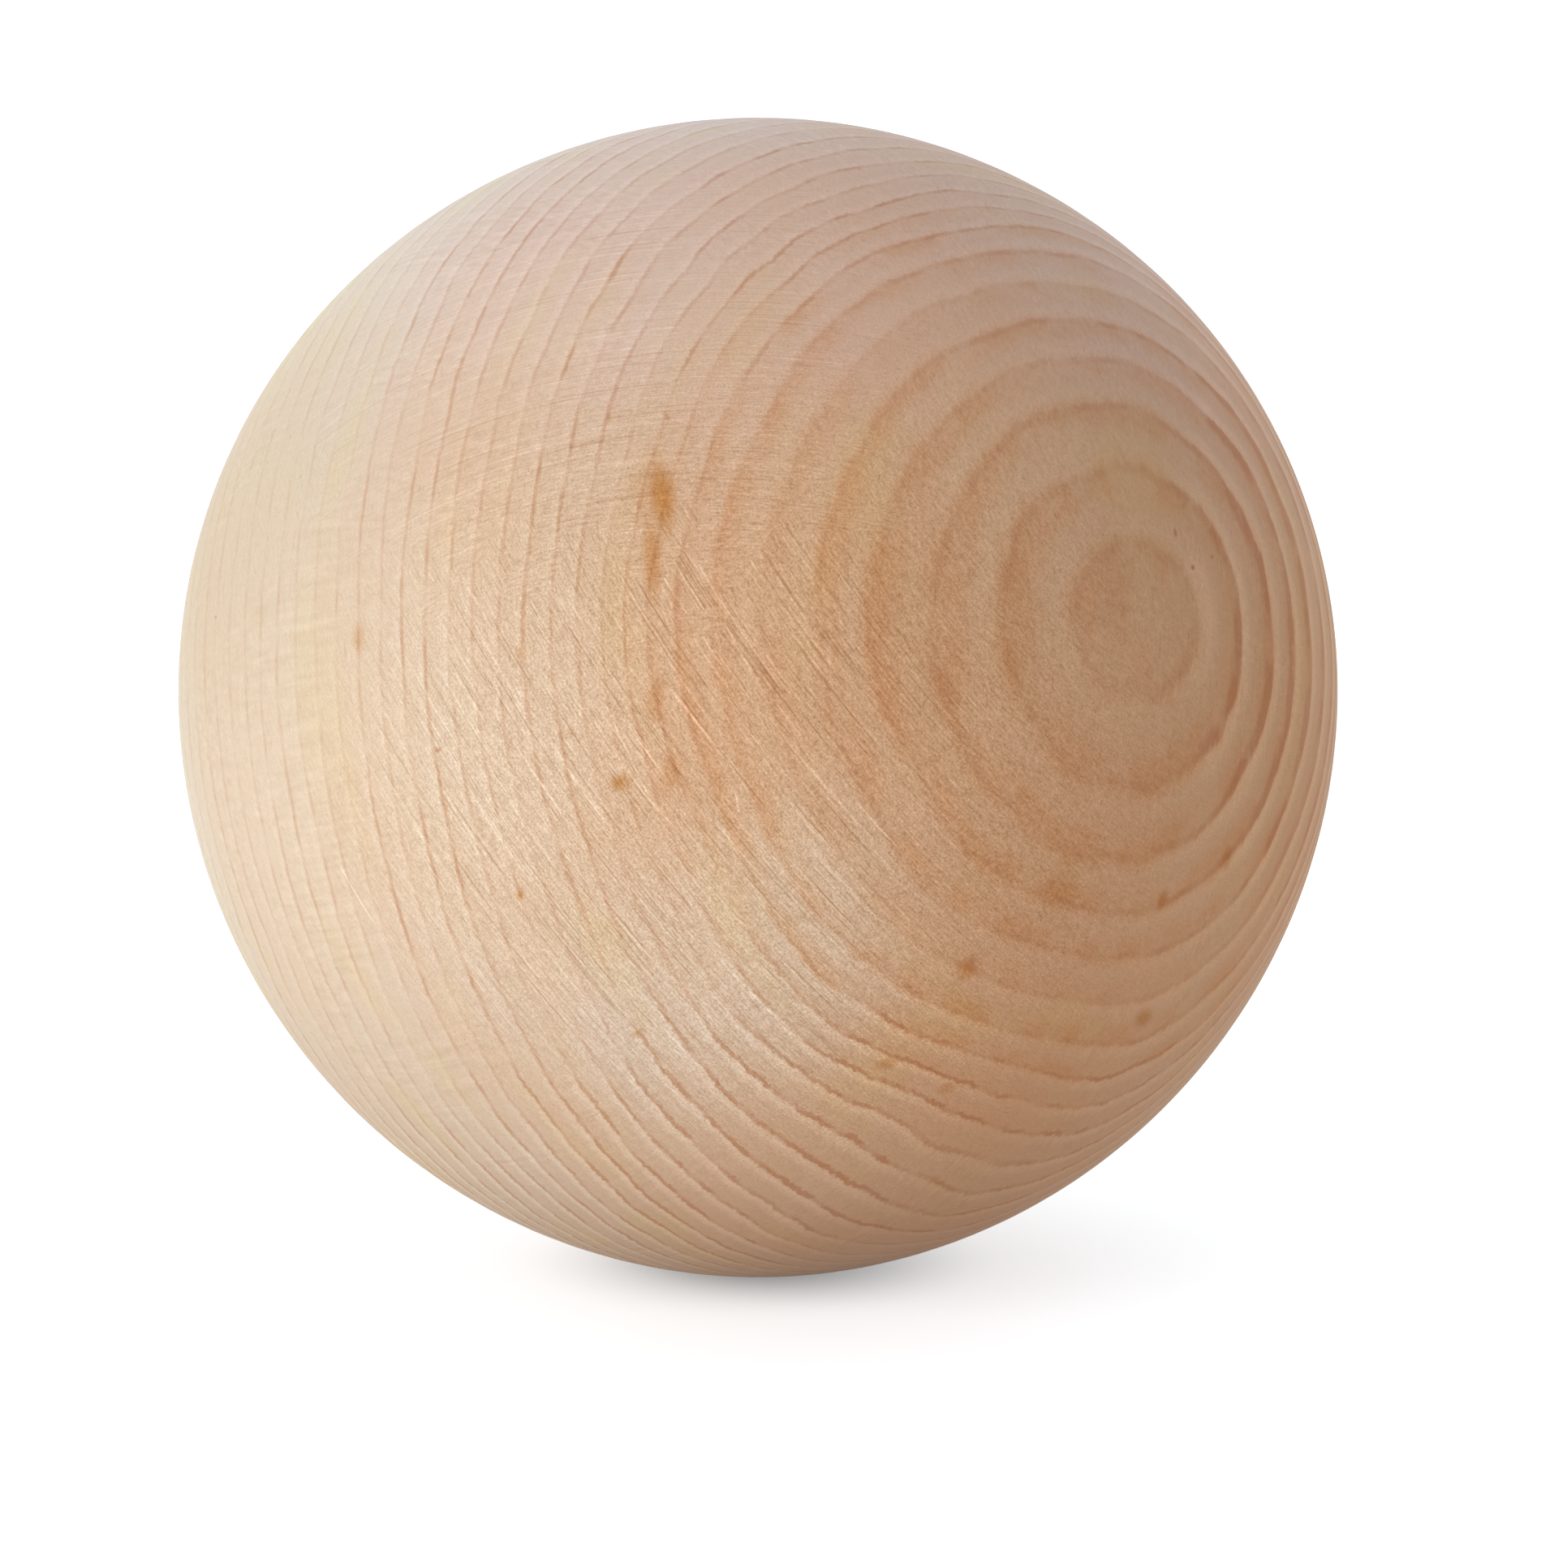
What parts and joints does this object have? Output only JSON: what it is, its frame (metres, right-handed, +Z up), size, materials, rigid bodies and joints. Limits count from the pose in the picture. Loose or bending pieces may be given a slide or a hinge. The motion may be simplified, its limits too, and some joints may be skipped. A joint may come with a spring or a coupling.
{
  "type": "wooden ball",
  "caption": "Solid wooden ball turned from pale hardwood, sanded smooth and left bare, with no hole or flat.",
  "frame": {"origin": "centre of the ball", "axes": "+Z up, with the grain of the wood running roughly along it; -Y is the side the picture shows; +X to its right"},
  "size_m": [0.06, 0.06, 0.06],
  "materials": {
    "bare_wood": "matte"
  },
  "bodies": {
    "root": {"ball": "bare_wood"}
  },
  "joints": []
}
